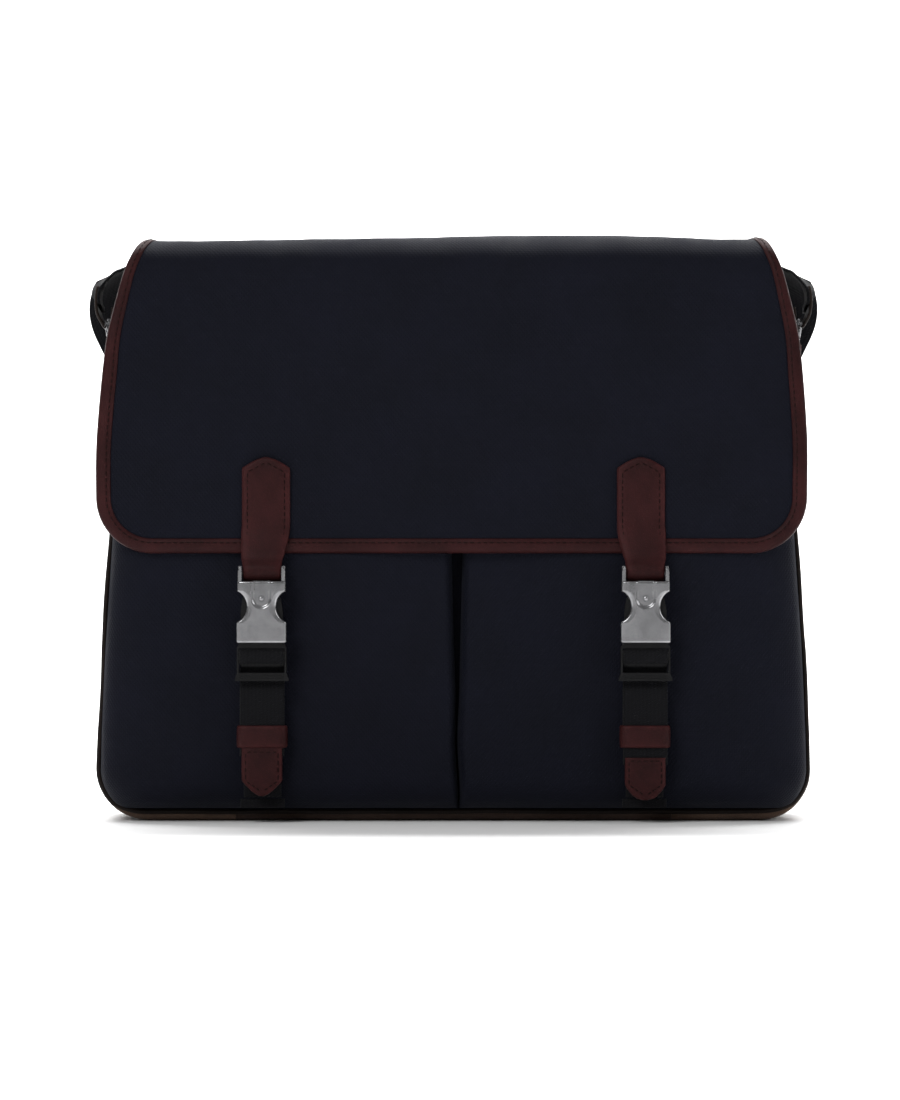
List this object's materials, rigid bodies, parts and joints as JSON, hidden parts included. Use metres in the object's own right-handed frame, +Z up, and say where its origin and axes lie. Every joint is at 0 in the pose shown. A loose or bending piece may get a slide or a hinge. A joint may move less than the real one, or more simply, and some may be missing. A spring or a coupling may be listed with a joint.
{
  "type": "messenger bag",
  "caption": "Soft messenger bag with a wide flap held by side-release buckles, patch pockets, leather trim and a webbing shoulder strap.",
  "frame": {"origin": "on the underside of the base panel, at the bag's middle", "axes": "+X to the right seen from the front, +Y to the back, +Z up"},
  "size_m": [0.423, 0.1364, 0.3305],
  "materials": {
    "nylon": "tightly woven dark navy nylon, matt",
    "leather": "dark brown leather, stitched, soft sheen",
    "dark_leather": "near-black brown leather",
    "webbing": "black ribbed webbing",
    "zinc": "brushed grey cast zinc",
    "black_plastic": "moulded black plastic",
    "lining_cloth": "smooth dark grey lining",
    "board": "plain stiffener"
  },
  "bodies": {
    "root": {"back_panel": "nylon", "front_panel": "nylon", "left_gusset": "nylon", "right_gusset": "nylon", "base_panel": "dark_leather", "left_base_corner": "leather", "right_base_corner": "leather", "front_piping": "dark_leather", "back_piping": "dark_leather", "mouth_binding": "leather", "lining": "lining_cloth", "base_board": "board", "left_pocket": "nylon", "right_pocket": "nylon", "left_pocket_binding": "leather", "right_pocket_binding": "leather", "left_strap_anchor": "webbing", "right_strap_anchor": "webbing", "left_ring_chape": "leather", "right_ring_chape": "leather", "left_ring": "zinc", "right_ring": "zinc"},
    "flap_top": {"flap_top": "nylon", "left_top_binding": "leather", "right_top_binding": "leather"},
    "flap_front": {"flap_front": "nylon", "flap_binding": "leather", "left_flap_tab": "leather", "left_socket": "zinc", "left_socket_pin": "zinc", "left_socket_stud": "zinc", "right_flap_tab": "leather", "right_socket": "zinc", "right_socket_pin": "zinc", "right_socket_stud": "zinc"},
    "shoulder_strap": {"shoulder_webbing": "webbing", "left_strap_leather": "leather", "right_strap_leather": "leather"},
    "strap_slider": {"strap_slider": "zinc"},
    "left_strap": {"left_strap_webbing": "webbing", "left_prong": "black_plastic", "left_strap_tip": "leather"},
    "left_keeper": {"left_keeper": "leather"},
    "left_outer_arm": {"left_outer_arm": "black_plastic"},
    "left_inner_arm": {"left_inner_arm": "black_plastic"},
    "right_strap": {"right_strap_webbing": "webbing", "right_prong": "black_plastic", "right_strap_tip": "leather"},
    "right_keeper": {"right_keeper": "leather"},
    "right_outer_arm": {"right_outer_arm": "black_plastic"},
    "right_inner_arm": {"right_inner_arm": "black_plastic"}
  },
  "joints": [
    {"name": "flap_hinge", "type": "hinge", "parent": "root", "child": "flap_top", "pos_m": [0, 0.0472, 0.2993], "axis": [-1, 0, 0], "range_deg": [0, 180]},
    {"name": "flap_fold", "type": "hinge", "parent": "flap_top", "child": "flap_front", "pos_m": [0, -0.0583, 0.308], "axis": [-1, 0, 0], "range_deg": [0, 90]},
    {"name": "shoulder_strap_swing", "type": "hinge", "parent": "root", "child": "shoulder_strap", "pos_m": [0, 0.005, 0.285], "axis": [1, 0, 0], "range_deg": [0, 90], "deforming": ["left_strap_leather", "right_strap_leather"]},
    {"name": "left_strap_swing", "type": "hinge", "parent": "root", "child": "left_strap", "pos_m": [-0.107, -0.0585, 0.014], "axis": [1, 0, 0], "range_deg": [0, 85]},
    {"name": "left_keeper_slide", "type": "slide", "parent": "left_strap", "child": "left_keeper", "axis": [0, 0, 1], "range_m": [0, 0.018]},
    {"name": "left_outer_arm_press", "type": "slide", "parent": "left_strap", "child": "left_outer_arm", "axis": [1, 0, 0], "range_m": [0, 0.0024], "stiffness_N_per_m": 600},
    {"name": "left_inner_arm_press", "type": "slide", "parent": "left_strap", "child": "left_inner_arm", "axis": [-1, 0, 0], "range_m": [0, 0.0024], "stiffness_N_per_m": 600},
    {"name": "right_strap_swing", "type": "hinge", "parent": "root", "child": "right_strap", "pos_m": [0.107, -0.0585, 0.014], "axis": [1, 0, 0], "range_deg": [0, 85]},
    {"name": "right_keeper_slide", "type": "slide", "parent": "right_strap", "child": "right_keeper", "axis": [0, 0, 1], "range_m": [0, 0.018]},
    {"name": "right_outer_arm_press", "type": "slide", "parent": "right_strap", "child": "right_outer_arm", "axis": [-1, 0, 0], "range_m": [0, 0.0024], "stiffness_N_per_m": 600},
    {"name": "right_inner_arm_press", "type": "slide", "parent": "right_strap", "child": "right_inner_arm", "axis": [1, 0, 0], "range_m": [0, 0.0024], "stiffness_N_per_m": 600},
    {"name": "slider_slide", "type": "slide", "parent": "shoulder_strap", "child": "strap_slider", "axis": [0.3579, 0, -0.9338], "range_m": [-0.008, 0.008]}
  ],
  "couplings": [
    {"joint": "left_inner_arm_press", "follows": "left_outer_arm_press", "ratio": 1},
    {"joint": "right_inner_arm_press", "follows": "right_outer_arm_press", "ratio": 1}
  ]
}
